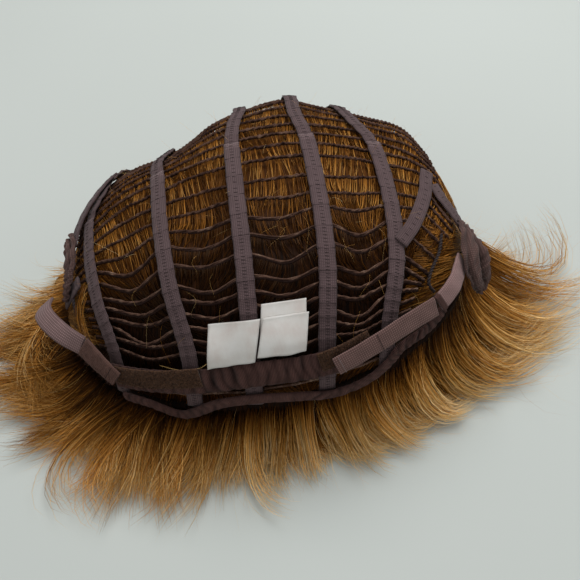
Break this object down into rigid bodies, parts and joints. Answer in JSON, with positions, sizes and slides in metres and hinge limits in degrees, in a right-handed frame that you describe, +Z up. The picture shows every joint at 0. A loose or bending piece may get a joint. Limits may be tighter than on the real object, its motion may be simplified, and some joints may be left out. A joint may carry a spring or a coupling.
{
  "type": "short layered wig",
  "caption": "Short layered wig lying inside out on its rim: sewn hair wefts under nape-to-front tapes, nape band, ear tabs, size adjusters and hair that fans out below.",
  "frame": {"origin": "on the floor under the middle of the outline seen from above", "axes": "+Z up, +X to the wig's right as it lies with the nape towards the viewer, nape towards -Y"},
  "size_m": [0.2926, 0.2156, 0.0819],
  "materials": {
    "hair": "fine golden auburn hair, pale at the tips",
    "weft": "dark sewn weft cord with light stitches",
    "strap": "mauve grey woven tape with ladder stitching",
    "band": "gathered dark mauve stretch tape",
    "felt": "fuzzy brown loop felt",
    "elastic": "ribbed mauve elastic with a velvet end",
    "satin": "bare white woven satin"
  },
  "bodies": {
    "root": {"hair_dome": "hair", "hair_skirt": "hair", "weft_01": "weft", "weft_02": "weft", "weft_03": "weft", "weft_04": "weft", "weft_05": "weft", "weft_06": "weft", "weft_07": "weft", "weft_08": "weft", "weft_09": "weft", "weft_10": "weft", "weft_11": "weft", "weft_12": "weft", "weft_13": "weft", "weft_14": "weft", "weft_15": "weft", "weft_16": "weft", "weft_17": "weft", "weft_18": "weft", "weft_19": "weft", "weft_20": "weft", "weft_21": "weft", "weft_22": "weft", "weft_23": "weft", "weft_24": "weft", "strap_outer_left_back": "strap", "strap_outer_left_crown": "strap", "strap_left_back": "strap", "strap_left_crown": "strap", "strap_middle_back": "strap", "strap_middle_crown": "strap", "strap_right_back": "strap", "strap_right_crown": "strap", "strap_outer_right_back": "strap", "strap_outer_right_crown": "strap", "diagonal_strap_right": "strap", "diagonal_strap_left": "strap", "side_strap_right": "strap", "side_strap_left": "strap", "ear_binding_right": "strap", "ear_binding_left": "strap", "ear_tab_right": "strap", "ear_tab_left": "strap", "nape_band": "band", "rim_tape": "band", "front_band": "band", "felt_pad_left": "felt", "felt_pad_right": "felt", "adjuster_right_elastic": "elastic", "adjuster_right_tab": "elastic", "adjuster_left_elastic": "elastic", "adjuster_left_tab": "elastic", "label_left": "satin", "label_right": "satin", "label_back": "satin"}
  },
  "joints": []
}
